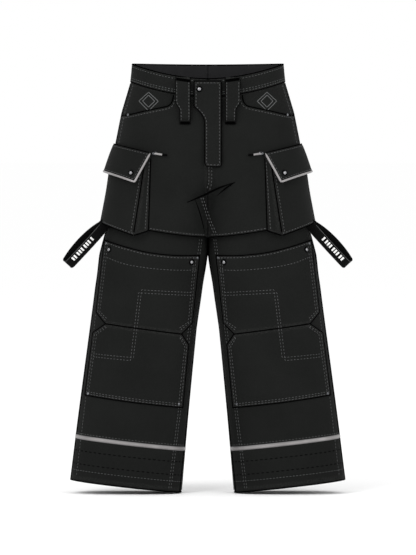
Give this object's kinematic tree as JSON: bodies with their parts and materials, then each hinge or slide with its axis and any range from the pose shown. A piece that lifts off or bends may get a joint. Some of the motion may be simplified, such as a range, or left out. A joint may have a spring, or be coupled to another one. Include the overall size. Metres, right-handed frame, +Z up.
{
  "type": "bunker pants",
  "caption": "Two-layer bunker trousers: a short upper layer with flapped cargo pockets and belt loops over wide legs with knee patches and a reflective band.",
  "frame": {"origin": "the middle of the waist opening, level with the highest point of the waistband", "axes": "+Z up along the body, -Y to the wearer's front, -X to the wearer's right"},
  "size_m": [0.7162, 0.2681, 1.0609],
  "materials": {
    "outer_cloth": "matt dark grey woven duck",
    "pocket_cloth": "matt thin woven lining",
    "webbing": "black woven tape",
    "reflective_tape": "silver grey retroreflective tape",
    "snap_metal": "gunmetal"
  },
  "bodies": {
    "trousers": {"waistband": "outer_cloth", "waistband_facing": "pocket_cloth", "back_yoke": "outer_cloth", "back_belt_loop_middle": "outer_cloth", "fly_snap_stud": "snap_metal", "fly_zip_chain": "snap_metal", "fly_zip_tape": "webbing", "front_panel_right": "outer_cloth", "front_panel_left": "outer_cloth", "pocket_facing_right": "outer_cloth", "pocket_facing_left": "outer_cloth", "hand_pocket_bag_right": "pocket_cloth", "hand_pocket_bag_left": "pocket_cloth", "back_panel_right": "outer_cloth", "back_panel_left": "outer_cloth", "back_pocket_right": "outer_cloth", "back_pocket_left": "outer_cloth", "front_belt_loop_right": "outer_cloth", "front_belt_loop_left": "outer_cloth", "back_belt_loop_right": "outer_cloth", "back_belt_loop_left": "outer_cloth", "cargo_face_right": "outer_cloth", "cargo_face_left": "outer_cloth", "cargo_gusset_right": "outer_cloth", "cargo_gusset_left": "outer_cloth", "cargo_snap_stud_right": "snap_metal", "cargo_snap_stud_left": "snap_metal", "cargo_zip_slider_right": "snap_metal", "cargo_zip_slider_left": "snap_metal"},
    "fly_shield": {"fly_shield": "outer_cloth", "fly_snap_cap": "snap_metal"},
    "fly_zip_slider": {"fly_zip_slider": "snap_metal"},
    "fly_zip_pull": {"fly_zip_pull": "snap_metal"},
    "thigh_right": {"thigh_tube_right": "outer_cloth", "knee_back_sleeve_right": "outer_cloth", "knee_patch_upper_right": "outer_cloth", "knee_snap_outer_right": "snap_metal", "knee_snap_inner_right": "snap_metal"},
    "shin_right": {"shin_tube_right": "outer_cloth", "knee_patch_lower_right": "outer_cloth", "reflective_band_right": "reflective_tape"},
    "cargo_flap_right": {"cargo_flap_right": "outer_cloth", "flap_piping_right": "reflective_tape", "flap_snap_cap_right": "snap_metal"},
    "cargo_zip_pull_right": {"cargo_zip_pull_right": "reflective_tape"},
    "webbing_loop_right": {"strap_loop_right": "webbing"},
    "thigh_left": {"thigh_tube_left": "outer_cloth", "knee_back_sleeve_left": "outer_cloth", "knee_patch_upper_left": "outer_cloth", "knee_snap_outer_left": "snap_metal", "knee_snap_inner_left": "snap_metal"},
    "shin_left": {"shin_tube_left": "outer_cloth", "knee_patch_lower_left": "outer_cloth", "reflective_band_left": "reflective_tape"},
    "cargo_flap_left": {"cargo_flap_left": "outer_cloth", "flap_piping_left": "reflective_tape", "flap_snap_cap_left": "snap_metal"},
    "cargo_zip_pull_left": {"cargo_zip_pull_left": "reflective_tape"},
    "webbing_loop_left": {"strap_loop_left": "webbing"}
  },
  "joints": [
    {"name": "hip_right", "type": "hinge", "parent": "trousers", "child": "thigh_right", "pos_m": [-0.126, 0, -0.42], "axis": [1, 0, 0], "range_deg": [-12, 12]},
    {"name": "knee_right", "type": "hinge", "parent": "thigh_right", "child": "shin_right", "pos_m": [-0.1595, -0.015, -0.654], "axis": [0.9934, 0, -0.1149], "range_deg": [0, 45], "deforming": ["knee_back_sleeve_right"]},
    {"name": "cargo_flap_right", "type": "hinge", "parent": "trousers", "child": "cargo_flap_right", "pos_m": [-0.21611, -0.05851, -0.20069], "axis": [-0.4907, 0.8647, 0.1074], "range_deg": [0, 60]},
    {"name": "cargo_zip_pull_right", "type": "hinge", "parent": "trousers", "child": "cargo_zip_pull_right", "pos_m": [-0.13229, -0.11602, -0.21867], "axis": [-0.0128, -0.0559, -0.9984], "range_deg": [0, 120]},
    {"name": "webbing_loop_right", "type": "hinge", "parent": "trousers", "child": "webbing_loop_right", "pos_m": [-0.259, -0.038, -0.4], "axis": [0, 1, 0], "range_deg": [-20, 25], "stiffness_Nm_per_rad": 0.05},
    {"name": "hip_left", "type": "hinge", "parent": "trousers", "child": "thigh_left", "pos_m": [0.126, 0, -0.42], "axis": [1, 0, 0], "range_deg": [-12, 12]},
    {"name": "knee_left", "type": "hinge", "parent": "thigh_left", "child": "shin_left", "pos_m": [0.1595, -0.015, -0.654], "axis": [0.9934, 0, 0.1149], "range_deg": [0, 45], "deforming": ["knee_back_sleeve_left"]},
    {"name": "cargo_flap_left", "type": "hinge", "parent": "trousers", "child": "cargo_flap_left", "pos_m": [0.21611, -0.05851, -0.20069], "axis": [-0.4907, -0.8647, -0.1074], "range_deg": [0, 60]},
    {"name": "cargo_zip_pull_left", "type": "hinge", "parent": "trousers", "child": "cargo_zip_pull_left", "pos_m": [0.13229, -0.11602, -0.21867], "axis": [-0.0128, 0.0559, 0.9984], "range_deg": [0, 120]},
    {"name": "webbing_loop_left", "type": "hinge", "parent": "trousers", "child": "webbing_loop_left", "pos_m": [0.259, -0.038, -0.4], "axis": [0, -1, 0], "range_deg": [-20, 25], "stiffness_Nm_per_rad": 0.05},
    {"name": "fly_shield_opening", "type": "hinge", "parent": "trousers", "child": "fly_shield", "pos_m": [0.034, -0.11651, -0.144], "axis": [0, 0.0375, 0.9993], "range_deg": [0, 110]},
    {"name": "fly_zip_slide", "type": "slide", "parent": "trousers", "child": "fly_zip_slider", "axis": [0, -0.0054, -1], "range_m": [0, 0.085]},
    {"name": "fly_zip_pull_swing", "type": "hinge", "parent": "fly_zip_slider", "child": "fly_zip_pull", "pos_m": [0, -0.11451, -0.09792], "axis": [0, 1, -0.0054], "range_deg": [-5, 5]}
  ]
}
